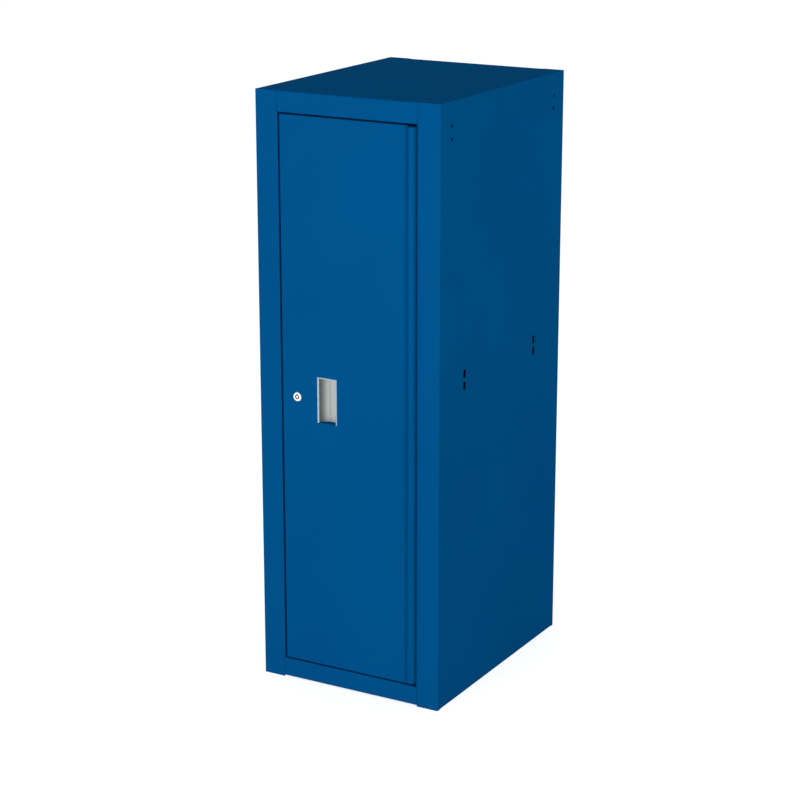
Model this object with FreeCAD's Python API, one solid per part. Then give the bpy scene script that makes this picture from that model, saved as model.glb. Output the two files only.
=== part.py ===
"""Side locker for a tool chest: a folded-steel cabinet with one full-height hinged door.

Millimetres. +Z is up, the door faces -Y, and the origin is the bottom centre of the whole
envelope, which reaches from the hinge knuckles in front to the rear flanges behind.
"""
import FreeCAD
import Part
import math
import os

V = FreeCAD.Vector
TOLERANCE = 1e-6

# ---------------------------------------------------------------- cabinet
case_width = 336.0
case_depth = 434.5
case_height = 1000.0
sheet = 1.2                  # gauge of the cabinet's sides, top and floor
back_sheet = 0.9
bend = 0.4                   # inner radius of the folds in the side panels
tray_bend = 0.6              # inner radius of the folds in the top and the floor
stile_width = 41.0
stop_depth = 22.0            # front of the cabinet to the front of the door stop lips
stop_lip = 16.0
rear_flange = 38.0
foot_flange = 25.0
foot_relief = 8.0            # gap between the foot flange and the front or rear folds
top_rail = 34.0
bottom_rail_top = 34.2
bottom_rail_lift = 2.0       # the bottom rail clears the floor that the sides stand on
rail_return = 15.0
tray_flange = 22.0
seam = 0.8                   # slit between a rail's end and the stile beside it
notch_gap = 0.4              # slit between a rail's edge and the stile's shoulder
weld_tab = 14.0              # the rail's end reaches behind the stile by this much
fit = 0.1                    # slack between pieces of one body that lie against each other
past = 1.0                   # how far a cutter runs past the metal that it cuts

# ---------------------------------------------------------------- holes in the sides
bolt_radius = 3.2
bolt_from_front = 37.8
bolt_from_rear = 37.9
bolt_from_top = 38.8
bolt_pitch = 19.6
slot_width = 8.7
slot_height = 13.7
slot_from_front = 85.5
slot_from_rear = 99.5
slot_from_top = 444.9
slot_pitch = 20.0

# ---------------------------------------------------------------- door
door_sheet = 1.2
inner_sheet = 1.0
door_bend = 0.8              # inner radius of the skin's folds
door_thickness = 20.0
door_gap = 3.0               # beside the latch stile
door_gap_rail = 2.3          # above and below the door
inner_flange = 12.0
emboss_depth = 2.5
emboss_margin = 36.0
emboss_end = 60.0            # door's end to the outer end of a pressed-in field
emboss_clear = 33.0          # pull to the inner end of a pressed-in field
stiffener_crown = 30.0
stiffener_foot = 12.0
stiffener_end = 40.0

# ---------------------------------------------------------------- continuous hinge
knuckle_radius = 8.1
knuckle_proud = 0.5          # the hinge's axis stands this far in front of the cabinet
leaf_thickness = 3.1
leaf_depth = 19.0
knuckle_count = 13
knuckle_slit = 0.25
hinge_top_end = 1.6          # the hinge stops short of the door's top by this much
hinge_bottom_end = 5.3
pin_end = 3.0                # the pin stops this far inside the hinge's ends
pin_slack = 0.05
root_gap = 0.4
roll_slit = 0.3

# ---------------------------------------------------------------- recessed pull
pull_from_edge = 67.1        # door's latch edge to the pull's left lip
pull_bottom = 462.4
pull_height = 76.9
pull_width = 36.6
pull_left_lip = 2.8
pull_right_lip = 2.4
pull_top_lip = 1.8
pull_wall = 1.0
pull_edge = 0.5              # inner radius where a lip turns into the cup
pull_depth = 13.5
pull_left_round = 12.5       # the cup's wide scoop away from the fingers
pull_right_round = 5.0
floor_tab = 12.5
clip_height = 12.0
clip_reach = 6.0
clip_thickness = 0.8

# ---------------------------------------------------------------- cam lock
lock_from_edge = 28.8
lock_height = 500.9
bezel_radius = 7.6
bezel_rise = 2.0
barrel_radius = 6.0
barrel_flat = 5.2
barrel_end = 23.7            # door face to the rear of the barrel
key_groove_radius = 3.9
key_groove_depth = 5.0
key_post_radius = 2.0
plug_radius = 4.2
rotor_slack = 0.05
cam_gap = 0.3
cam_thickness = 2.0
cam_hub = 8.0
cam_width = 14.0
cam_reach = 28.0
cam_square = 5.0
nut_flats = 16.0
nut_height = 3.0
screw_head = 4.0
screw_rise = 1.8
access_radius = 13.0

# ---------------------------------------------------------------- catches and bumpers
catch_from_end = 180.0       # floor or top of the cabinet to a catch
catch_width = 8.0
catch_height = 20.0
catch_flange = 2.0           # the flange overhangs the hole in the lip by this much
catch_rise = 1.6
catch_length = 9.0
catch_barb = 0.8
magnet_wall = 1.5
magnet_length = 6.0
magnet_proud = 0.1
bumper_from_end = 90.0
bumper_radius = 4.5
bumper_gap = 0.3
stop_from_return = 8.5       # stile return to the centre line of catches and bumpers

# ---------------------------------------------------------------- shelves
standard_width = 20.0
standard_rise = 5.0
standard_from_front = 60.0
standard_from_rear = 58.0
standard_bottom = 20.0       # above the floor tray
standard_top = 70.0          # below the cabinet's top
standard_pitch = 50.0
standard_slot = 12.0
standard_slot_height = 4.0
shelf_steps = (("shelf_lower", 4), ("shelf_middle", 8), ("shelf_upper", 13))
shelf_sheet = 1.0
shelf_height = 20.0
shelf_return = 10.0
shelf_gap = 3.8              # shelf's side to the standard
shelf_from_stop = 14.0       # stop lip to the shelf's front
shelf_from_back = 12.0
clip_ledge = 14.0
clip_drop = 18.0             # how far the clip's plate hangs below its ledge
ledge_width = 11.0
ledge_thickness = 2.0
hook_height = 3.4
hook_drop = 3.0
hook_thickness = 1.2

# ---------------------------------------------------------------- derived places
half_width = case_width / 2
front = (knuckle_proud + knuckle_radius - case_depth) / 2
rear = front + case_depth
stile_inner = half_width - stile_width
stile_flat = half_width - stile_width + bend + sheet     # where the stile's return fold starts
wall_inner = half_width - sheet
wall_corner = half_width - sheet - bend                  # side wall's inner fold starts here
rail_bottom = case_height - top_rail
stop_face = front + stop_depth
stop_inner = stile_inner - stop_lip
tray_rear = rear - sheet - back_sheet

stop_x = stop_from_return - stile_inner
catch_heights = (catch_from_end, case_height - catch_from_end)
bumper_heights = (bumper_from_end, case_height - bumper_from_end)

hinge_x = stile_inner - knuckle_radius
hinge_y = front - knuckle_proud
door_left = door_gap - stile_inner
door_right = hinge_x - knuckle_radius
door_bottom = bottom_rail_top + door_gap_rail
door_top = rail_bottom - door_gap_rail
door_rear = front + door_thickness
hinge_bottom = door_bottom + hinge_bottom_end
hinge_top = door_top - hinge_top_end
pin_radius = knuckle_radius - leaf_thickness

lock_x = door_left + lock_from_edge
pull_left = door_left + pull_from_edge
pull_right = pull_left + pull_width
pull_top = pull_bottom + pull_height
cup_left = pull_left + pull_left_lip
cup_right = pull_right - pull_right_lip
cup_top = pull_top - pull_top_lip
pull_face = front - pull_wall

standard_face = wall_inner - standard_rise
standard_low = bottom_rail_top + standard_bottom
standard_high = case_height - standard_top
standard_places = {"front": front + standard_from_front, "rear": rear - standard_from_rear}


# ---------------------------------------------------------------- sheet-metal and solid helpers
def unit(vector):
    """The vector at length one."""
    return vector * (1 / vector.Length)


def box(x, y, z):
    """A block between pairs of coordinates."""
    corner = V(min(x), min(y), min(z))
    return Part.makeBox(abs(x[1] - x[0]), abs(y[1] - y[0]), abs(z[1] - z[0]), corner)


def rod(radius, start, direction, length):
    """A round bar from a start point."""
    return Part.makeCylinder(radius, length, start, direction)


def join(shapes):
    """One solid of overlapping or touching shapes."""
    shapes = list(shapes)
    return shapes[0].fuse(shapes[1:]).removeSplitter()


def mirrored(shape):
    """The same shape on the other side of the cabinet."""
    return shape.mirror(V(0, 0, 0), V(1, 0, 0))


def shifted(points, distance):
    """An open path moved sideways to its left."""
    legs = [unit(after - before) for before, after in zip(points, points[1:])]
    normals = [V(-leg.y, leg.x, 0) for leg in legs]
    moved = [points[0] + normals[0] * distance]
    for at, entering, leaving in zip(points[1:], normals, normals[1:]):
        moved.append(at + (entering + leaving) * (distance / (1 + entering.dot(leaving))))
    return moved + [points[-1] + normals[-1] * distance]


def rounded(points, radii, place):
    """Edges along an open path whose corners are rounded."""
    edges = []
    start = points[0]
    for before, at, after, radius in zip(points, points[1:], points[2:], radii):
        back = unit(before - at)
        ahead = unit(after - at)
        half = back.getAngle(ahead) / 2
        reach = radius / math.tan(half)
        first = at + back * reach
        last = at + ahead * reach
        middle = at + unit(back + ahead) * (radius / math.sin(half) - radius)
        edges.append(Part.makeLine(place(start), place(first)))
        edges.append(Part.Arc(place(first), place(middle), place(last)).toShape())
        start = last
    return edges + [Part.makeLine(place(start), place(points[-1]))]


def folded(path, metal, inner_radius, along, span):
    """Folded sheet: path is one skin of it, in the plane across `along`, with the metal on its left.

    inner_radius is one number, or one for each fold.
    """
    places = {
        "x": lambda p: V(span[0], p.x, p.y),
        "y": lambda p: V(p.x, span[0], p.y),
        "z": lambda p: V(p.x, p.y, span[0]),
    }
    skin = [V(u, v, 0) for u, v in path]
    folds = list(zip(skin, skin[1:], skin[2:]))
    inner = inner_radius if isinstance(inner_radius, (list, tuple)) else [inner_radius] * len(folds)
    left_turns = [(at - before).cross(after - at).z > 0 for before, at, after in folds]
    near = [r + metal if left else r for r, left in zip(inner, left_turns)]
    far = [r if left else r + metal for r, left in zip(inner, left_turns)]
    other = shifted(skin, metal)
    place = places[along]
    edges = rounded(skin, near, place)
    edges.append(Part.makeLine(place(skin[-1]), place(other[-1])))
    edges += rounded(other[::-1], far[::-1], place)
    edges.append(Part.makeLine(place(other[0]), place(skin[0])))
    face = Part.Face(Part.Wire(edges))
    length = span[1] - span[0]
    return face.extrude({"x": V(length, 0, 0), "y": V(0, length, 0), "z": V(0, 0, length)}[along])


def rounded_block(x, y, z, axis, level, radius):
    """A block whose face at `level` on an axis has rounded edges."""
    block = box(x, y, z)
    rim = [edge for edge in block.Edges
           if all(abs(getattr(vertex.Point, axis) - level) < TOLERANCE for vertex in edge.Vertexes)]
    return block.makeFillet(radius, rim)


def door_pan(x, z, closed, opened, metal, inner_radius):
    """A welded pan with its closed face at y = closed and its rim at y = opened."""
    side = 1 if opened > closed else -1
    outer = rounded_block(x, (closed, opened), z, "y", closed, inner_radius + metal)
    floor = closed + side * metal
    inner = rounded_block((x[0] + metal, x[1] - metal), (floor, opened + side * metal),
                          (z[0] + metal, z[1] - metal), "y", floor, inner_radius)
    return outer.cut(inner)


# ---------------------------------------------------------------- cabinet
def side_holes():
    """Cutters for the bolt holes and slots through the right wall."""
    reach = (wall_corner, half_width + sheet)
    cutters = []
    for y in (front + bolt_from_front, rear - bolt_from_rear):
        for step in range(2):
            z = case_height - bolt_from_top - step * bolt_pitch
            cutters.append(rod(bolt_radius, V(reach[0], y, z), V(1, 0, 0), reach[1] - reach[0]))
    for y in (front + slot_from_front, rear - slot_from_rear):
        for step in range(2):
            z = case_height - slot_from_top - step * slot_pitch
            cutters.append(box(reach, (y - slot_width / 2, y + slot_width / 2),
                               (z - slot_height / 2, z + slot_height / 2)))
    return cutters


def side_panel():
    """Right side: stop lip, return, stile, wall, rear flange and foot flange in one folded sheet."""
    path = [(stop_inner, stop_face), (stile_inner, stop_face), (stile_inner, front),
            (half_width, front), (half_width, rear), (half_width - rear_flange, rear)]
    panel = folded(path, sheet, bend, "z", (0, case_height))
    clear_x = (stop_inner - sheet, stile_flat)
    clear_y = (front - sheet, stop_face + 2 * sheet)
    panel = panel.cut([
        box(clear_x, clear_y, (rail_bottom - notch_gap, case_height + sheet)),
        box(clear_x, clear_y, (-sheet, bottom_rail_top + notch_gap)),
    ])
    foot_span = (front + sheet + bend + foot_relief, rear - sheet - bend - foot_relief)
    fold_top = 2 * (bend + sheet)
    panel = panel.cut(box((wall_corner, half_width + sheet), foot_span, (-sheet, fold_top)))
    foot = folded([(half_width - foot_flange, 0), (half_width, 0), (half_width, fold_top)],
                  sheet, bend, "y", foot_span)
    return join([panel, foot]).cut(side_holes())


def tray(top, rail_low):
    """Top or floor: a sheet whose front flange is the rail, with side and rear flanges turned down.

    A tab at each end of the rail backs its seam and lies against the stile's rear.
    """
    rail_end = stile_flat - seam
    middle = folded([(tray_rear, top - tray_flange), (tray_rear, top), (front, top),
                     (front, rail_low), (front + rail_return, rail_low)],
                    sheet, tray_bend, "x", (-rail_end, rail_end))
    fold = tray_bend + sheet
    behind_stile = front + sheet
    side_start = front + sheet + bend + fold
    side_end = tray_rear - sheet - bend - fold
    corner_x = (rail_end - fold, wall_corner - fit)
    plate = box(corner_x, (behind_stile, tray_rear - fit), (top - sheet, top))
    flange = folded([(wall_inner - fit, top - tray_flange), (wall_inner - fit, top),
                     (rail_end - fold, top)], sheet, tray_bend, "y", (side_start, side_end))
    tab = box((rail_end - sheet, rail_end + weld_tab), (behind_stile, behind_stile + sheet), (rail_low, top))
    right = [plate, flange, tab]
    return join([middle] + right + [mirrored(piece) for piece in right])


def back_panel():
    """Flat sheet against the inside of the rear flanges."""
    x = wall_corner - fit
    return box((-x, x), (tray_rear, rear - sheet), (bottom_rail_lift, case_height - sheet))


def shelf_standard(y):
    """Slotted strip on the right wall: a shallow channel open towards the wall."""
    half = standard_width / 2
    span = (standard_low, standard_high)
    strip = box((standard_face, wall_inner), (y - half, y + half), span)
    half -= shelf_sheet
    strip = strip.cut(box((standard_face + shelf_sheet, half_width), (y - half, y + half), span))
    count = int((standard_high - standard_low) / standard_pitch)
    slots = [box((standard_face - sheet, standard_face + 2 * shelf_sheet),
                 (y - standard_slot / 2, y + standard_slot / 2),
                 (slot_level(step), slot_level(step) + standard_slot_height))
             for step in range(count)]
    return strip.cut(slots)


def slot_level(step):
    """Bottom of a standard's slot."""
    return standard_low + standard_pitch / 2 + step * standard_pitch


def shelf_clip(y, step):
    """Clip on the right standard: a plate with a ledge in front and a turned-down hook in a slot."""
    span = (y - ledge_width / 2, y + ledge_width / 2)
    foot = slot_level(step)
    top = foot + hook_height
    behind = standard_face + shelf_sheet + fit
    return join([
        box((standard_face - ledge_thickness, standard_face), span, (top - clip_drop, top)),
        box((standard_face - clip_ledge, standard_face), span, (foot - ledge_thickness, foot)),
        box((standard_face - fit, behind + hook_thickness), span, (foot, top)),
        box((behind, behind + hook_thickness), span, (foot - hook_drop, top)),
    ])


def shelf_rest(step):
    """Height of the clip ledges of one shelf."""
    return slot_level(step)


def shelf_clips():
    """Four clips under each shelf."""
    clips = []
    for _, step in shelf_steps:
        for y in standard_places.values():
            clip = shelf_clip(y, step)
            clips += [clip, mirrored(clip)]
    return Part.makeCompound(clips)


def shelf(step):
    """Pan-shaped shelf, closed on top, with its edges turned in under itself."""
    x = standard_face - shelf_gap
    y = (stop_face + sheet + shelf_from_stop, tray_rear - shelf_from_back)
    low = shelf_rest(step)
    high = low + shelf_height
    outer = rounded_block((-x, x), y, (low, high), "z", high, shelf_sheet + tray_bend)
    inner = rounded_block((shelf_sheet - x, x - shelf_sheet), (y[0] + shelf_sheet, y[1] - shelf_sheet),
                          (low + shelf_sheet, high - shelf_sheet), "z", high - shelf_sheet, tray_bend)
    window = box((shelf_return - x, x - shelf_return), (y[0] + shelf_return, y[1] - shelf_return),
                 (low - shelf_sheet, low + 2 * shelf_sheet))
    return outer.cut([inner, window])


# ---------------------------------------------------------------- stop-lip fittings
def stop_hole_cutters():
    """Holes in the latch stop lip for the catches."""
    span = (stop_face - sheet, stop_face + 2 * sheet)
    return [catch_block(z, span, fit) for z in catch_heights]


def catch_block(z, y, margin):
    """A block round a catch's centre, wider and taller than its body by a margin all round."""
    half_x = catch_width / 2 + margin
    half_z = catch_height / 2 + margin
    return box((stop_x - half_x, stop_x + half_x), y, (z - half_z, z + half_z))


def catch_housings():
    """Snap-in holders of the door magnets: a flange, a body and barbs above and below."""
    housings = []
    face = stop_face - catch_rise
    barb_y = (stop_face + sheet + fit, stop_face + sheet + fit + catch_barb)
    for z in catch_heights:
        reach = catch_height / 2 + catch_barb
        body = join([
            catch_block(z, (face, stop_face), catch_flange),
            catch_block(z, (face, face + catch_length), 0),
            box((stop_x - catch_width / 4, stop_x + catch_width / 4), barb_y, (z - reach, z + reach)),
        ])
        housings.append(body.cut(catch_block(z, (face - fit, face + magnet_length), -magnet_wall)))
    return Part.makeCompound(housings)


def catch_magnets():
    """Block magnets, a hair proud of their holders."""
    face = stop_face - catch_rise
    return Part.makeCompound([catch_block(z, (face - magnet_proud, face + magnet_length), -magnet_wall)
                              for z in catch_heights])


def door_bumpers():
    """Self-adhesive rubber buttons on the latch stop lip."""
    rise = stop_depth - door_thickness - bumper_gap
    return Part.makeCompound([rod(bumper_radius, V(stop_x, stop_face - rise, z), V(0, 1, 0), rise)
                              for z in bumper_heights])


# ---------------------------------------------------------------- continuous hinge
def hinge_zones(first):
    """Spans of every second knuckle, with a slit at each end that meets the next one."""
    pitch = (hinge_top - hinge_bottom) / knuckle_count
    return [(hinge_bottom + k * pitch + knuckle_slit / 2, hinge_bottom + (k + 1) * pitch - knuckle_slit / 2)
            for k in range(first, knuckle_count, 2)]


def hinge_leaf(first):
    """Leaf on the stile side, rolled round the pin at every second knuckle."""
    leaf_x = (hinge_x + knuckle_radius - leaf_thickness, hinge_x + knuckle_radius)
    root = hinge_y + knuckle_radius + root_gap
    plate = box(leaf_x, (root, front + leaf_depth), (hinge_bottom, hinge_top))
    rolls = []
    for low, high in hinge_zones(first):
        axis = V(hinge_x, hinge_y, low)
        roll = rod(knuckle_radius, axis, V(0, 0, 1), high - low)
        roll = roll.cut(box((leaf_x[0] - roll_slit, leaf_x[1] + sheet), (hinge_y, root), (low, high)))
        rolls.append(join([roll, box(leaf_x, (hinge_y, root + root_gap), (low, high))]))
    bore = rod(pin_radius + pin_slack, V(hinge_x, hinge_y, hinge_bottom), V(0, 0, 1),
               hinge_top - hinge_bottom)
    return join([plate] + rolls).cut(bore)


def swapped(shape):
    """The same shape on the other side of the hinge's axis."""
    return shape.mirror(V(hinge_x, 0, 0), V(1, 0, 0))


# ---------------------------------------------------------------- door
def door_skin():
    """Front pan of the door, with the lock hole and the opening and floor tab of the pull."""
    skin = door_pan((door_left, door_right), (door_bottom, door_top), front, door_rear,
                    door_sheet, door_bend)
    wall = pull_wall + pull_edge + fit
    opening_x = (cup_left - wall, cup_right + wall)
    through = (front - past, front + 2 * door_sheet)
    skin = skin.cut(box(opening_x, through, (pull_bottom, cup_top + pull_wall + 2 * fit)))
    tab_x = (cup_left + fit, cup_right - fit)
    tab_drop = 4 * door_sheet
    skin = skin.cut(box(tab_x, through, (pull_bottom - tab_drop, pull_bottom + fit)))
    tab = folded([(front + floor_tab, pull_bottom), (front, pull_bottom),
                  (front, pull_bottom - tab_drop)], door_sheet, door_sheet / 4, "x", tab_x)
    lock_hole = rod(barrel_radius + fit, lock_point(-past), V(0, 1, 0), 3 * door_sheet)
    flats = barrel_flat + fit
    lock_hole = lock_hole.common(box((lock_x - flats, lock_x + flats), (front - past, front + 3 * door_sheet),
                                     (lock_height - bezel_radius, lock_height + bezel_radius)))
    return join([skin, tab]).cut(lock_hole)


def door_inner_panel():
    """Rear pan of the door, nested in the skin, with two pressed-in fields and a lock access hole."""
    gap = door_sheet + fit
    x = (door_left + gap, door_right - gap)
    z = (door_bottom + gap, door_top - gap)
    panel = door_pan(x, z, door_rear, door_rear - inner_flange, inner_sheet, tray_bend)
    field_x = (x[0] + emboss_margin, x[1] - emboss_margin)
    base = door_rear - emboss_depth
    for field_z in ((door_bottom + emboss_end, pull_bottom - emboss_clear),
                    (pull_top + emboss_clear, door_top - emboss_end)):
        plug = rounded_block(field_x, (base, door_rear + past), field_z, "y", base, tray_bend)
        cover = rounded_block((field_x[0] - inner_sheet, field_x[1] + inner_sheet),
                              (base - inner_sheet, door_rear),
                              (field_z[0] - inner_sheet, field_z[1] + inner_sheet),
                              "y", base - inner_sheet, tray_bend + inner_sheet)
        panel = join([panel, cover]).cut(plug)
    access = rod(access_radius, lock_point(door_thickness - inner_sheet - past), V(0, 1, 0),
                 inner_sheet + 2 * past)
    return panel.cut(access)


def door_stiffener():
    """Hat channel behind the skin, midway between the pull and the hinge."""
    near = front + door_sheet
    crown = door_rear - emboss_depth - 2 * inner_sheet
    x = (pull_right + door_right) / 2
    half = stiffener_crown / 2
    path = [(x - half - stiffener_foot, near), (x - half, near), (x - half, crown),
            (x + half, crown), (x + half, near), (x + half + stiffener_foot, near)]
    return folded(path, inner_sheet, tray_bend, "z",
                  (door_bottom + stiffener_end, door_top - stiffener_end))


def cup_roof():
    """Flat top of the pull's cup, inside its bent walls."""
    def place(point):
        return V(point.x, point.y, cup_top)

    back = front + pull_depth
    corners = [V(cup_left, pull_face, 0), V(cup_left, back, 0), V(cup_right, back, 0),
               V(cup_right, pull_face, 0)]
    rim = rounded(corners, (pull_left_round, pull_right_round), place)
    rim.append(Part.makeLine(place(corners[-1]), place(corners[0])))
    return Part.Face(Part.Wire(rim)).extrude(V(0, 0, pull_wall))


def pull_cup():
    """Recessed pull: a formed cup with lips on three sides and its lower end open."""
    path = [(pull_left, pull_face), (cup_left, pull_face), (cup_left, front + pull_depth),
            (cup_right, front + pull_depth), (cup_right, pull_face), (pull_right, pull_face)]
    walls = folded(path, pull_wall, [pull_edge, pull_left_round, pull_right_round, pull_edge], "z",
                   (pull_bottom, cup_top + pull_wall))
    lip = box((pull_left, pull_right), (pull_face, front), (cup_top, pull_top))
    cup = join([walls, cup_roof(), lip])
    corners = [edge_ for edge_ in cup.Edges
               if all(abs(v.Point.z - pull_top) < TOLERANCE for v in edge_.Vertexes)
               and abs(edge_.Length - pull_wall) < TOLERANCE]
    return cup.makeFillet(pull_wall, corners) if corners else cup


def pull_clips():
    """Spring clips that hook behind the skin, one beside the cup and one above it."""
    near = front + door_sheet
    beside = cup_right + pull_wall
    above = cup_top + pull_wall
    middle_z = (pull_bottom + pull_top) / 2
    middle_x = cup_right - pull_right_round - clip_height / 2
    z = (middle_z - clip_height / 2, middle_z + clip_height / 2)
    x = (middle_x - clip_height / 2, middle_x + clip_height / 2)
    leg = (near, front + pull_depth - pull_right_round)
    toe = (near, near + clip_thickness)
    return Part.makeCompound([
        join([box((beside, beside + clip_thickness), leg, z), box((beside, beside + clip_reach), toe, z)]),
        join([box(x, leg, (above, above + clip_thickness)), box(x, toe, (above, above + clip_reach))]),
    ])


# ---------------------------------------------------------------- cam lock
def lock_point(depth):
    """A point on the lock's axis, at a depth behind the door's face."""
    return V(lock_x, front + depth, lock_height)


def lock_barrel():
    """Bezel and flat-sided barrel, bored for the key ring in front and the plug behind."""
    flats = box((lock_x - barrel_flat, lock_x + barrel_flat), (front - fit, front + barrel_end),
                (lock_height - barrel_radius, lock_height + barrel_radius))
    barrel = rod(barrel_radius, lock_point(0), V(0, 1, 0), barrel_end).common(flats)
    bezel = rod(bezel_radius, lock_point(-bezel_rise), V(0, 1, 0), bezel_rise)
    rim = [edge for edge in bezel.Edges
           if abs(edge.BoundBox.YMin - (front - bezel_rise)) < TOLERANCE
           and abs(edge.BoundBox.YMax - (front - bezel_rise)) < TOLERANCE]
    bezel = bezel.makeChamfer(bezel_rise / 3, rim)
    groove_end = key_groove_depth - bezel_rise
    key_bore = rod(key_groove_radius, lock_point(-bezel_rise - past), V(0, 1, 0), key_groove_depth + past)
    plug_bore = rod(plug_radius + rotor_slack, lock_point(groove_end), V(0, 1, 0), barrel_end)
    key_notch = box((lock_x - key_post_radius / 2, lock_x + key_post_radius / 2),
                    (front - bezel_rise - past, front + groove_end),
                    (lock_height, lock_height + key_groove_radius + key_post_radius / 2))
    return join([barrel, bezel]).cut([key_bore, plug_bore, key_notch])


def lock_nut():
    """Hexagon nut that clamps the barrel to the skin."""
    radius = nut_flats / 2 / math.cos(math.pi / 6)
    corners = [lock_point(door_sheet) + V(radius * math.cos(k * math.pi / 3), 0,
                                          radius * math.sin(k * math.pi / 3)) for k in range(7)]
    hexagon = Part.Face(Part.makePolygon(corners)).extrude(V(0, nut_height, 0))
    return hexagon.cut(rod(barrel_radius, lock_point(0), V(0, 1, 0), 4 * nut_height))


def lock_plug():
    """Rotor: key post, body and the square that drives the cam."""
    groove_end = key_groove_depth - bezel_rise
    body_end = barrel_end + cam_gap
    post = rod(key_post_radius, lock_point(-bezel_rise + fit), V(0, 1, 0), key_groove_depth)
    body = rod(plug_radius, lock_point(groove_end), V(0, 1, 0), body_end - groove_end)
    half = cam_square / 2
    square = box((lock_x - half, lock_x + half), (front + body_end - fit, front + body_end + cam_thickness),
                 (lock_height - half, lock_height + half))
    return join([post, body, square])


def lock_cam():
    """Flat latch arm, hanging down when unlocked."""
    start = barrel_end + cam_gap
    half = cam_width / 2
    hub = rod(cam_hub, lock_point(start), V(0, 1, 0), cam_thickness)
    arm = box((lock_x - half, lock_x + half), (front + start, front + start + cam_thickness),
              (lock_height - cam_reach + half, lock_height))
    tip = rod(half, lock_point(start) - V(0, 0, cam_reach - half), V(0, 1, 0), cam_thickness)
    hole = cam_square / 2 + rotor_slack
    drive = box((lock_x - hole, lock_x + hole), (front + start - past, front + start + cam_thickness + past),
                (lock_height - hole, lock_height + hole))
    return join([hub, arm, tip]).cut(drive)


def cam_screw():
    """Screw that holds the cam on its square."""
    start = lock_point(barrel_end + cam_gap + cam_thickness)
    head = rod(screw_head, start, V(0, 1, 0), screw_rise)
    slot = box((lock_x - screw_head, lock_x + screw_head),
               (start.y + screw_rise / 2, start.y + 2 * screw_rise),
               (lock_height - screw_head / 8, lock_height + screw_head / 8))
    return head.cut(slot)


# ---------------------------------------------------------------- assembly
def build():
    """Every piece by its name."""
    right_side = side_panel()
    pieces = {
        "right_side_panel": right_side,
        "left_side_panel": mirrored(right_side).cut(stop_hole_cutters()),
        "top_panel": tray(case_height, rail_bottom),
        "bottom_panel": tray(bottom_rail_top, bottom_rail_lift),
        "back_panel": back_panel(),
        "shelf_clips": shelf_clips(),
        "catch_housings": catch_housings(),
        "catch_magnets": catch_magnets(),
        "door_bumpers": door_bumpers(),
        "hinge_frame_leaf": hinge_leaf(0),
        "hinge_pin": rod(pin_radius, V(hinge_x, hinge_y, hinge_bottom + pin_end), V(0, 0, 1),
                         hinge_top - hinge_bottom - 2 * pin_end),
        "hinge_door_leaf": swapped(hinge_leaf(1)),
        "door_skin": door_skin(),
        "door_inner_panel": door_inner_panel(),
        "door_stiffener": door_stiffener(),
        "pull_cup": pull_cup(),
        "pull_clips": pull_clips(),
        "lock_barrel": lock_barrel(),
        "lock_nut": lock_nut(),
        "lock_plug": lock_plug(),
        "lock_cam": lock_cam(),
        "cam_screw": cam_screw(),
    }
    for name, step in shelf_steps:
        pieces[name] = shelf(step)
    for place, y in standard_places.items():
        standard = shelf_standard(y)
        pieces["shelf_standard_right_" + place] = standard
        pieces["shelf_standard_left_" + place] = mirrored(standard)
    return pieces


os.makedirs("parts", exist_ok=True)
for piece_name, piece_shape in build().items():
    piece_shape.exportStep("parts/" + piece_name + ".step")
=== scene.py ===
"""Looks of the side locker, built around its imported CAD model. Metres, in the CAD model's frame."""

import math

import bmesh
import bpy
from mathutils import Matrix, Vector


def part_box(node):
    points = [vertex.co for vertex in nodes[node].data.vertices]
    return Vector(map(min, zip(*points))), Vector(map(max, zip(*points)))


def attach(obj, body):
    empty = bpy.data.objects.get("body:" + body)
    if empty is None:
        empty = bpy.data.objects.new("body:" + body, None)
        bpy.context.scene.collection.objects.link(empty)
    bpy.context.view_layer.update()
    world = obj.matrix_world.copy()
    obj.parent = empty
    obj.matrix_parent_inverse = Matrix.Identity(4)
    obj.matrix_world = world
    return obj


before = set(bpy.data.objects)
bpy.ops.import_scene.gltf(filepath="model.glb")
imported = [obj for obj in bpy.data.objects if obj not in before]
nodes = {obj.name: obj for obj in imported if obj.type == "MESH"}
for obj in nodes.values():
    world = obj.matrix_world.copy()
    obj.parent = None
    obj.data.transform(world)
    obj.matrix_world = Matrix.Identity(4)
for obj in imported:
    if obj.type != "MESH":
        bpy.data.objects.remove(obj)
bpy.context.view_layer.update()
scene = bpy.context.scene
scene.view_settings.view_transform = "Standard"

MM = 0.001

# ---------------------------------------------------------------- camera
AZIMUTH = math.radians(29.55)
ELEVATION = math.radians(16.31)
FOCAL_LENGTH = 100.14               # in millimetres, as the sensor's width
SENSOR_WIDTH = 36.0
CAMERA_PLACE = Vector((1.77413, -3.17105, 1.51785))
NEAREST = 0.05
FARTHEST = 120.0


def add_camera():
    """Camera at the calibrated place and angle."""
    data = bpy.data.cameras.new("camera")
    data.lens = FOCAL_LENGTH
    data.sensor_width = SENSOR_WIDTH
    data.sensor_fit = "HORIZONTAL"
    data.clip_start = NEAREST
    data.clip_end = FARTHEST
    camera = bpy.data.objects.new("camera", data)
    scene.collection.objects.link(camera)
    back = Vector((math.sin(AZIMUTH) * math.cos(ELEVATION),
                   -math.cos(AZIMUTH) * math.cos(ELEVATION),
                   math.sin(ELEVATION)))
    camera.location = CAMERA_PLACE
    camera.rotation_mode = "QUATERNION"
    camera.rotation_quaternion = (-back).to_track_quat("-Z", "Y")
    scene.camera = camera


# ---------------------------------------------------------------- colours
def srgb(red, green, blue):
    """Linear colour of an 8-bit display colour."""
    def linear(value):
        value /= 255.0
        return value / 12.92 if value <= 0.04045 else ((value + 0.055) / 1.055) ** 2.4
    return (linear(red), linear(green), linear(blue), 1.0)


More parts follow.
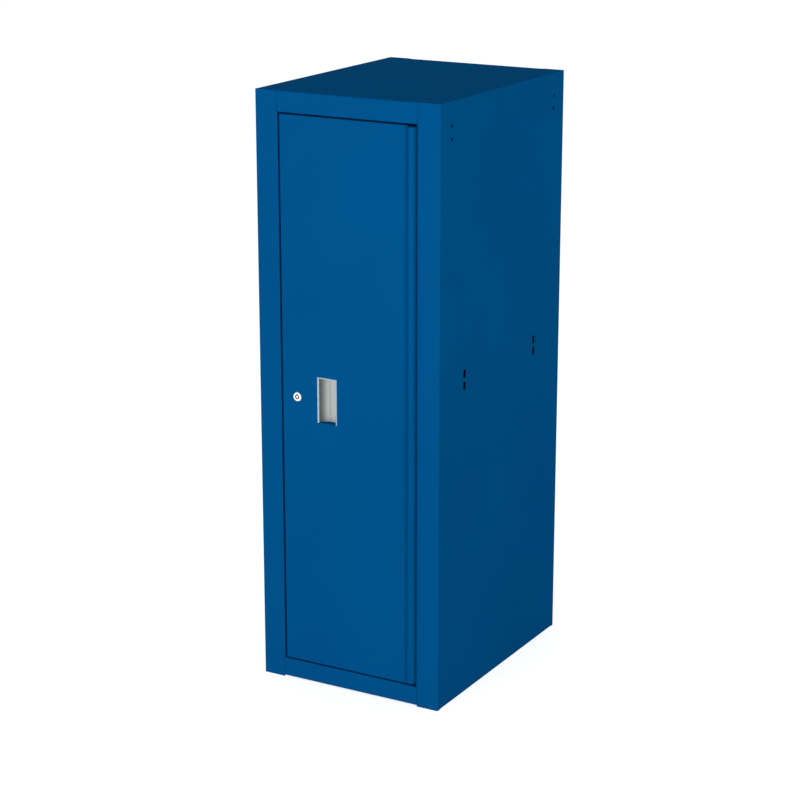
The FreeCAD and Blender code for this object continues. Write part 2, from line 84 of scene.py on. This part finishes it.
def shade(colour, share, lift=0.0):
    """The colour with its channels multiplied by a share, and lifted."""
    return tuple(min(1.0, channel * share + lift) for channel in colour[:3]) + (1.0,)


def tinted(colour, tint):
    """The colour seen through a tint."""
    return tuple(channel * share for channel, share in zip(colour[:3], tint)) + (1.0,)


# ---------------------------------------------------------------- node helpers
MIDDLE = (0.3, 0.7)                 # most of a noise's values lie between these
EDGE_SAMPLES = 6
EDGE_TURN = (0.80, 0.995)           # cosine of a rounded edge's turn, from a sharp edge to a flat place


class Nodes:
    """A node tree with short calls for the nodes used here. A value is a number, a colour or a socket."""

    def __init__(self, tree):
        self.tree = tree

    def add(self, kind, **settings):
        node = self.tree.nodes.new(kind)
        for key, value in settings.items():
            setattr(node, key, value)
        return node

    def link(self, source, target):
        self.tree.links.new(source, target)

    def feed(self, socket, value):
        """Set a socket to a number or a colour, or link another socket to it."""
        if isinstance(value, (int, float, tuple)):
            socket.default_value = value
        else:
            self.link(value, socket)

    def math(self, operation, first, second=0.0):
        node = self.add("ShaderNodeMath", operation=operation)
        self.feed(node.inputs[0], first)
        self.feed(node.inputs[1], second)
        return node.outputs["Value"]

    def ramp(self, value, low, high, start=0.0, end=1.0):
        """Linear map of a value from start..end to low..high, clamped there."""
        node = self.add("ShaderNodeMapRange")
        node.inputs["From Min"].default_value = start
        node.inputs["From Max"].default_value = end
        node.inputs["To Min"].default_value = low
        node.inputs["To Max"].default_value = high
        self.link(value, node.inputs["Value"])
        return node.outputs["Result"]

    def mix(self, factor, first, second, blend="MIX"):
        """Blend of two colours."""
        node = self.add("ShaderNodeMix", data_type="RGBA", blend_type=blend)
        colour_sockets = (node.inputs[6], node.inputs[7])
        self.feed(node.inputs[0], factor)
        for socket, value in zip(colour_sockets, (first, second)):
            self.feed(socket, value)
        return node.outputs[2]

    def background_rays(self):
        """1 for rays that show the background: seen by the camera, mirrored or let through."""
        path = self.add("ShaderNodeLightPath").outputs
        seen = self.math("MAXIMUM", path["Is Camera Ray"], path["Is Glossy Ray"])
        return self.math("MAXIMUM", seen, path["Is Transmission Ray"])


class Shader(Nodes):
    """A new material's node tree."""

    def __init__(self, name):
        self.material = bpy.data.materials.new(name)
        self.material.use_nodes = True
        super().__init__(self.material.node_tree)
        self.bsdf = self.tree.nodes["Principled BSDF"]
        self.output = self.tree.nodes["Material Output"]
        coordinates = self.add("ShaderNodeTexCoord").outputs
        self.place = coordinates["Object"]
        self.normal = coordinates["Normal"]

    def set(self, name, value):
        """Set or link one of the surface's own sockets."""
        self.feed(self.bsdf.inputs[name], value)

    def noise(self, scale, detail=2.0, roughness=0.5, stretch=None):
        """Noise in object space, with features of about 1 / scale metres."""
        node = self.add("ShaderNodeTexNoise")
        node.inputs["Scale"].default_value = scale
        node.inputs["Detail"].default_value = detail
        node.inputs["Roughness"].default_value = roughness
        source = self.place
        if stretch:
            mapping = self.add("ShaderNodeMapping")
            mapping.inputs["Scale"].default_value = stretch
            self.link(self.place, mapping.inputs["Vector"])
            source = mapping.outputs["Vector"]
        self.link(source, node.inputs["Vector"])
        return node.outputs["Fac"]

    def bump(self, height, distance, normal=None):
        """Normal of a surface whose height runs from 0 to the distance."""
        node = self.add("ShaderNodeBump")
        node.inputs["Distance"].default_value = distance
        node.inputs["Strength"].default_value = 1.0
        self.link(height, node.inputs["Height"])
        if normal is not None:
            self.link(normal, node.inputs["Normal"])
        return node.outputs["Normal"]

    def axes(self, vector):
        """X, Y and Z of a vector."""
        node = self.add("ShaderNodeSeparateXYZ")
        self.link(vector, node.inputs["Vector"])
        return node.outputs

    def flank(self):
        """0 on faces that look to the object's front or rear, and 1 on faces square to them."""
        return self.ramp(self.math("ABSOLUTE", self.axes(self.normal)["Y"]), 1.0, 0.0)

    def weld_marks(self, across, rear):
        """1 in the spot-weld marks on the rear flanges, in two rows along Z at -across and +across."""
        place = self.axes(self.place)
        offset = self.add("ShaderNodeCombineXYZ")
        self.link(self.math("SUBTRACT", self.math("ABSOLUTE", place["X"]), across), offset.inputs["X"])
        self.link(self.math("PINGPONG", place["Z"], WELD_PITCH / 2), offset.inputs["Z"])
        distance = self.add("ShaderNodeVectorMath", operation="LENGTH")
        self.link(offset.outputs["Vector"], distance.inputs[0])
        mark = self.ramp(distance.outputs["Value"], 1.0, 0.0, WELD_RADIUS * WELD_FLAT, WELD_RADIUS)
        outside = self.ramp(place["Y"], 0.0, 1.0, rear - 2 * WELD_DEPTH, rear - WELD_DEPTH)
        return self.math("MULTIPLY", mark, outside)

    def edge(self, radius):
        """Near 1 on sharp outer and inner edges and 0 on flat places."""
        bevel = self.add("ShaderNodeBevel", samples=EDGE_SAMPLES)
        bevel.inputs["Radius"].default_value = radius
        geometry = self.add("ShaderNodeNewGeometry")
        dot = self.add("ShaderNodeVectorMath", operation="DOT_PRODUCT")
        self.link(bevel.outputs["Normal"], dot.inputs[0])
        self.link(geometry.outputs["Normal"], dot.inputs[1])
        return self.ramp(dot.outputs["Value"], 1.0, 0.0, *EDGE_TURN)


# ---------------------------------------------------------------- powder coat
PAINT = srgb(1, 85, 143)
# painted shade: the cabinet's blue made a little darker for the hinge
HINGE_SHADED_PAINT = srgb(1, 83, 139)
SHEEN = (0.0, 0.19, 0.23, 1.0)      # tint of the coat's metallic share at glancing angles
FLANK_SHADE_TINT = (1.0, 1.0, 0.92, 1.0)       # painted shade: the paint on the sides and the top made less blue, as on faces in shade
COAT_ROUGHNESS = (0.37, 0.48)
COAT_METALLIC = 0.18
MOTTLE = 0.04                       # share by which the paint is darker or lighter in patches
MOTTLE_SCALE = 4.0                  # this and the other scales: features per metre
GRAIN_SCALE = 140.0
PEEL_SCALE = 420.0
PEEL_HEIGHT = 0.05 * MM
SPECK_SCALE = 2600.0
SPECK_HEIGHT = 0.012 * MM

EDGE_REACH = 0.9 * MM
RUBBED_AND_HIGHLIT = (1.35, 0.01)               # share and lift of the paint's colour on edges: rubbed wear and a painted highlight
WEAR_AND_HIGHLIGHT_SCALE = 60.0
WEAR_AND_HIGHLIGHT = (0.2, 0.8)                   # how rubbed and highlit the edges are, from place to place
WEAR_AND_HIGHLIGHT_WINDOW = (0.35, 0.65)

SEAM_SHADE = 0.1                          # share of the paint's colour left under the darkest painted shade along a seam
SEAM_SHADE_COVER = 0.34                   # how dark the painted shade lies at the middle of a seam
HINGE_SHADE_REACH = 4.5 * MM
DOOR_SHADE_REACH = 7.0 * MM

REAR_FLANGE = 38.0 * MM
WELD_PITCH = 83.0 * MM
WELD_RADIUS = 3.0 * MM
WELD_FLAT = 0.7                     # share of a mark's radius that is flat
WELD_DEPTH = 0.2 * MM
WELD_SHADE = 0.8                    # painted shade: share of the paint's colour left in a mark, shading its dimple


def powder_coat(name, colour=PAINT, seam=None, welds=None):
    """Smooth satin powder coat: fine orange peel, faint mottling, edges lighter from wear and a painted
    highlight, painted shade on sides, top and seams.

    seam is a distance along X and a reach: painted shade darkens the paint near that line, where the
    hinge's crease lies.
    welds are the places of the spot-weld marks that show through the paint as dimples, darkened with
    painted shade.
    """
    shader = Shader(name)
    patches = shader.ramp(shader.noise(MOTTLE_SCALE), 0.0, 1.0, *MIDDLE)
    body = shader.mix(patches, shade(colour, 1.0 - MOTTLE), shade(colour, 1.0 + MOTTLE))
    # painted shade: faces turned away from the front get a less blue tint
    body = shader.mix(shader.flank(), body, FLANK_SHADE_TINT, "MULTIPLY")
    if seam:
        line, reach = seam
        away = shader.math("ABSOLUTE", shader.math("SUBTRACT", shader.axes(shader.place)["X"], line))
        # painted shade along the seam, darkest at its line
        body = shader.mix(shader.ramp(away, SEAM_SHADE_COVER, 0.0, 0.0, reach), body, shade(colour, SEAM_SHADE))
    if welds:
        marks = shader.weld_marks(*welds)
        # painted shade in the weld dimples
        body = shader.mix(marks, body, shade(colour, WELD_SHADE))
    # painted highlight and wear on the edges, patchy from place to place
    wear_and_highlight = shader.ramp(shader.noise(WEAR_AND_HIGHLIGHT_SCALE), *WEAR_AND_HIGHLIGHT, *WEAR_AND_HIGHLIGHT_WINDOW)
    edge = shader.math("MULTIPLY", shader.edge(EDGE_REACH), wear_and_highlight)
    shader.set("Base Color", shader.mix(edge, body, shade(colour, *RUBBED_AND_HIGHLIT)))

    grain = shader.noise(GRAIN_SCALE, detail=4.0, roughness=0.6)
    shader.set("Roughness", shader.ramp(grain, *COAT_ROUGHNESS, *MIDDLE))
    skin = shader.bump(shader.noise(PEEL_SCALE, roughness=0.4), PEEL_HEIGHT)
    if welds:
        skin = shader.bump(shader.math("SUBTRACT", 1.0, marks), WELD_DEPTH, skin)
    shader.set("Normal", shader.bump(shader.noise(SPECK_SCALE, detail=1.0), SPECK_HEIGHT, skin))
    shader.set("Metallic", COAT_METALLIC)
    shader.set("Specular IOR Level", 0.0)
    shader.set("Specular Tint", SHEEN)
    return shader.material


# ---------------------------------------------------------------- metal
TONE_SCALE = 220.0
TONE_SHADE = 0.94                   # share of the colour left in the darker drawing lines
SCRATCH_SCALE = 900.0
SCRATCH_HEIGHT = 0.02 * MM
SCRATCH_GLOSS = (0.8, 1.3)          # shares of the roughness between and in the scratches
DRAWN = (1.0, 1.0, 0.05)            # stretches the drawing lines along Z

# near black of the recesses: painted shade with some soot
SOOT_AND_SHADE = (0.012, 0.012, 0.013, 1.0)
RECESS = (0.35, 0.75)               # how open a place is where the painted shade and dirt are full, and where they end
RECESS_SAMPLES = 8
LOCK_RECESS = 3.0 * MM

CUP_RIM_REFLECTION = (0.74, 0.94, 1.05)        # painted reflection: tint of the pull's lips, as if they mirror the paint around them
CUP_SHADE = 0.47                     # painted shade: share of the colour left on the shaded side of the hollow
CUP_SHADE_SPAN = (0.10, 0.55)        # shares of the cup's width between which the painted shade ends
CUP_LIP_SPAN = (1.0 * MM, 2.5 * MM)     # depths between which the lips turn into the hollow


def metal(name, colour, roughness, streak=None, scratch=0.3, dirt_and_shade_reach=None, metallic=1.0, cup=None):
    """Bare or plated metal with drawing lines and fine scratches.

    streak stretches the lines; the recess reach darkens the recesses with painted shade and some dirt.
    cup is a pull cup's lowest corner and width: its hollow gets painted shade on that corner's side, and
    its lips a painted reflection.
    """
    shader = Shader(name)
    shader.set("Metallic", metallic)
    tone = shader.noise(TONE_SCALE, detail=3.0, roughness=0.6, stretch=streak)
    body = shader.mix(shader.ramp(tone, 0.0, 1.0, *MIDDLE), shade(colour, TONE_SHADE), colour)
    if dirt_and_shade_reach:
        open_sky = shader.add("ShaderNodeAmbientOcclusion", samples=RECESS_SAMPLES)
        open_sky.inputs["Distance"].default_value = dirt_and_shade_reach
        # painted shade and dirt in the recesses, by how enclosed they are
        body = shader.mix(shader.ramp(open_sky.outputs["AO"], 0.0, 1.0, *RECESS), SOOT_AND_SHADE, body)
    if cup:
        corner, width = cup
        place = shader.axes(shader.place)
        across = [corner.x + share * width for share in CUP_SHADE_SPAN]
        deep = [corner.y + depth for depth in CUP_LIP_SPAN]
        # painted shade on the hollow's side at the corner
        shaded_side = shader.ramp(place["X"], 1.0, 0.0, *across)
        inside = shader.ramp(place["Y"], 0.0, 1.0, *deep)
        hollow = shader.mix(shaded_side, body, shade(colour, CUP_SHADE))
        # painted reflection on the lips, the hollow behind them
        body = shader.mix(inside, tinted(colour, CUP_RIM_REFLECTION), hollow)
    shader.set("Base Color", body)
    fine = shader.noise(SCRATCH_SCALE, detail=4.0, roughness=0.7, stretch=streak)
    gloss = [roughness * share for share in SCRATCH_GLOSS]
    shader.set("Roughness", shader.ramp(fine, *gloss, *MIDDLE))
    shader.set("Normal", shader.bump(fine, SCRATCH_HEIGHT * scratch))
    return shader.material


# ---------------------------------------------------------------- plastic and rubber
PATCH_SCALE = 40.0
PATCH_WINDOW = (0.35, 0.75)
PALE = (1.4, 0.004)                 # share and lift of the colour in pale patches
MOULD_SCALE = 1500.0
MOULD_HEIGHT = 0.03 * MM
MOULD_GLOSS = (-0.06, 0.08)         # change of the roughness between and in the grains


def moulded(name, colour, roughness):
    """Moulded plastic or rubber with a fine grain."""
    shader = Shader(name)
    patches = shader.ramp(shader.noise(PATCH_SCALE, detail=3.0), 0.0, 1.0, *PATCH_WINDOW)
    shader.set("Base Color", shader.mix(patches, colour, shade(colour, *PALE)))
    grain = shader.noise(MOULD_SCALE)
    gloss = [roughness + change for change in MOULD_GLOSS]
    shader.set("Roughness", shader.ramp(grain, *gloss, *MIDDLE))
    shader.set("Normal", shader.bump(grain, MOULD_HEIGHT))
    return shader.material


def dress(names, material):
    """Give CAD nodes a material in all their slots."""
    for name in names:
        materials = nodes[name].data.materials
        for index in range(len(materials)):
            materials[index] = material


# ---------------------------------------------------------------- stage
FLOOR_REACH = 40.0
PAPER_TONES = ((0.78, 0.78, 0.78, 1.0), (0.80, 0.80, 0.80, 1.0))
PAPER_SCALE = 3.0
PAPER_ROUGHNESS = 0.9
PAPER_GLOW = 0.69                   # lifts the lit paper to white where it is the background
DOME = 0.42                         # strength of the white world on the object
WHITE = (1.0, 1.0, 1.0, 1.0)
LAMPS = (                           # name, place, target, width and height, power
    ("key", (0.6, -4.2, 1.2), (0.0, -0.2, 0.2), (3.6, 2.2), 83.0),
    ("side", (3.0, -1.0, 0.75), (0.1, 0.2, 0.45), (1.8, 1.2), 6.6),
    ("rear", (2.6, 2.0, 0.8), (0.1, 0.1, 0.45), (1.6, 1.2), 13.0))


def add_floor():
    """Pale paper floor that is white as a background, apart from the object's shadow."""
    shader = Shader("floor_paper")
    shader.set("Base Color", shader.mix(shader.noise(PAPER_SCALE), *PAPER_TONES))
    shader.set("Roughness", PAPER_ROUGHNESS)
    shader.set("Specular IOR Level", 0.0)
    glow = shader.add("ShaderNodeEmission")
    shader.link(shader.math("MULTIPLY", shader.background_rays(), PAPER_GLOW), glow.inputs["Strength"])
    total = shader.add("ShaderNodeAddShader")
    shader.link(shader.bsdf.outputs["BSDF"], total.inputs[0])
    shader.link(glow.outputs["Emission"], total.inputs[1])
    shader.link(total.outputs["Shader"], shader.output.inputs["Surface"])

    reach = FLOOR_REACH
    mesh = bpy.data.meshes.new("floor")
    corners = [(-reach, -reach, 0), (reach, -reach, 0), (reach, reach, 0), (-reach, reach, 0)]
    mesh.from_pydata(corners, [], [(0, 1, 2, 3)])
    mesh.materials.append(shader.material)
    floor = bpy.data.objects.new("floor", mesh)
    scene.collection.objects.link(floor)


def add_world():
    """White world that lights the object softly and is full white as a background."""
    world = bpy.data.worlds.new("studio")
    scene.world = world
    world.use_nodes = True
    sky = Nodes(world.node_tree)
    background = sky.tree.nodes["Background"]
    background.inputs["Color"].default_value = WHITE
    sky.link(sky.ramp(sky.background_rays(), DOME, 1.0), background.inputs["Strength"])


def add_lamps():
    """Large soft lamps, each aimed at its target."""
    for name, place, target, size, power in LAMPS:
        data = bpy.data.lights.new(name, "AREA")
        data.shape = "RECTANGLE"
        data.size, data.size_y = size
        data.energy = power
        lamp = bpy.data.objects.new(name, data)
        scene.collection.objects.link(lamp)
        lamp.location = place
        aim = Vector(target) - Vector(place)
        lamp.rotation_euler = aim.to_track_quat("-Z", "Y").to_euler()


# ---------------------------------------------------------------- rivets
HEAD_SEGMENTS = 20
HEAD_RINGS = 5
LEAF_THICKNESS = 3.1 * MM
HINGE_HEAD = (3.4 * MM, 1.1 * MM)   # radius and height
HINGE_RIVETS = 9
HINGE_RIVET_FROM_REAR = 7.5 * MM
STANDARD_HEAD = (3.2 * MM, 1.2 * MM)
STANDARD_LEVELS = (0.031, 0.5, 0.969)   # shares of the strip's height, between its slots


def add_dome(mesh, place, turn, head):
    """One low domed head, with a flat underside, in the mesh."""
    radius, height = head
    rims = []
    for ring in range(HEAD_RINGS):
        slope = math.pi / 2 * ring / HEAD_RINGS
        level = height * math.sin(slope)
        reach = radius * math.cos(slope)
        rim = []
        for k in range(HEAD_SEGMENTS):
            around = 2 * math.pi * k / HEAD_SEGMENTS
            point = Vector((reach * math.cos(around), reach * math.sin(around), level))
            rim.append(mesh.verts.new(place + turn @ point))
        rims.append(rim)
    tip = mesh.verts.new(place + turn @ Vector((0.0, 0.0, height)))
    neighbours = [(k, (k + 1) % HEAD_SEGMENTS) for k in range(HEAD_SEGMENTS)]
    for low, high in zip(rims, rims[1:]):
        for this, after in neighbours:
            mesh.faces.new((low[this], low[after], high[after], high[this]))
    for this, after in neighbours:
        mesh.faces.new((rims[-1][this], rims[-1][after], tip))
    mesh.faces.new(rims[0][::-1])


def dome_heads(name, body, finish, places, facing, head):
    """Rivet heads at the places, all facing one way, as one piece that rides on a body."""
    turn = Vector((0.0, 0.0, 1.0)).rotation_difference(facing)
    mesh = bmesh.new()
    for place in places:
        add_dome(mesh, place, turn, head)
    data = bpy.data.meshes.new(name)
    mesh.to_mesh(data)
    mesh.free()
    for polygon in data.polygons:
        polygon.use_smooth = len(polygon.vertices) < HEAD_SEGMENTS
    material, record_slot = finish
    data.materials.append(material)
    piece = bpy.data.objects.new(name, data)
    scene.collection.objects.link(piece)
    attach(piece, body)


def hinge_rivets(finish):
    """Rivets that hold the hinge's leaves, in the leaves' inner faces."""
    low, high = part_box("hinge_frame_leaf")
    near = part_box("hinge_door_leaf")[0]
    y = high.y - HINGE_RIVET_FROM_REAR
    levels = [low.z + (high.z - low.z) * (step + 0.5) / HINGE_RIVETS for step in range(HINGE_RIVETS)]
    for name, body, x, side in (
            ("hinge_frame_rivets", "cabinet", high.x - LEAF_THICKNESS, -1.0),
            ("hinge_door_rivets", "door", near.x + LEAF_THICKNESS, 1.0)):
        places = [Vector((x, y, z)) for z in levels]
        dome_heads(name, body, finish, places, Vector((side, 0.0, 0.0)), HINGE_HEAD)


def standard_rivets(finish):
    """Rivets that hold the slotted strips to the side walls."""
    for side, inward in (("left", 1.0), ("right", -1.0)):
        places = []
        for place in ("front", "rear"):
            low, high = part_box("shelf_standard_" + side + "_" + place)
            x = high.x if inward > 0.0 else low.x
            y = (low.y + high.y) / 2
            places += [Vector((x, y, low.z + (high.z - low.z) * level)) for level in STANDARD_LEVELS]
        facing = Vector((inward, 0.0, 0.0))
        dome_heads("standard_rivets_" + side, "cabinet", finish, places, facing, STANDARD_HEAD)


# ---------------------------------------------------------------- scene
add_camera()
add_floor()
add_world()
add_lamps()

cabinet_paint = powder_coat("cabinet_powder_coat")
dress(["top_panel", "bottom_panel", "back_panel", "door_inner_panel", "door_stiffener", "hinge_pin",
       "shelf_upper", "shelf_middle", "shelf_lower", "shelf_standard_left_front",
       "shelf_standard_left_rear", "shelf_standard_right_front", "shelf_standard_right_rear"],
      cabinet_paint)
hinge_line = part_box("door_skin")[1].x
dress(["door_skin"], powder_coat("door_powder_coat", seam=(hinge_line, DOOR_SHADE_REACH)))
dress(["hinge_frame_leaf", "hinge_door_leaf"],
      powder_coat("hinge_powder_coat", HINGE_SHADED_PAINT, seam=(hinge_line, HINGE_SHADE_REACH)))
side_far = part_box("right_side_panel")[1]
dress(["left_side_panel", "right_side_panel"],
      powder_coat("side_powder_coat", welds=(side_far.x - REAR_FLANGE / 2, side_far.y)))

zinc = metal("zinc_plate", srgb(200, 202, 200), 0.38)
dress(["shelf_clips", "pull_clips", "lock_nut", "lock_cam", "cam_screw"], zinc)
cup_corner, cup_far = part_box("pull_cup")
dress(["pull_cup"], metal("satin_aluminium", srgb(187, 188, 188), 0.55, streak=DRAWN, metallic=0.7,
                          cup=(cup_corner, cup_far.x - cup_corner.x)))
dress(["lock_barrel"], metal("chrome", srgb(240, 241, 243), 0.12, scratch=0.1, dirt_and_shade_reach=LOCK_RECESS))
dress(["lock_plug"], metal("lock_steel", srgb(240, 241, 242), 0.2, dirt_and_shade_reach=LOCK_RECESS))
dress(["catch_magnets"], metal("magnet_nickel", srgb(188, 186, 182), 0.3))
dress(["catch_housings"], moulded("catch_plastic", srgb(34, 34, 36), 0.5))
dress(["door_bumpers"], moulded("bumper_rubber", srgb(24, 24, 24), 0.75))

hinge_rivets((cabinet_paint, "hinge_paint"))
standard_rivets((zinc, "zinc"))
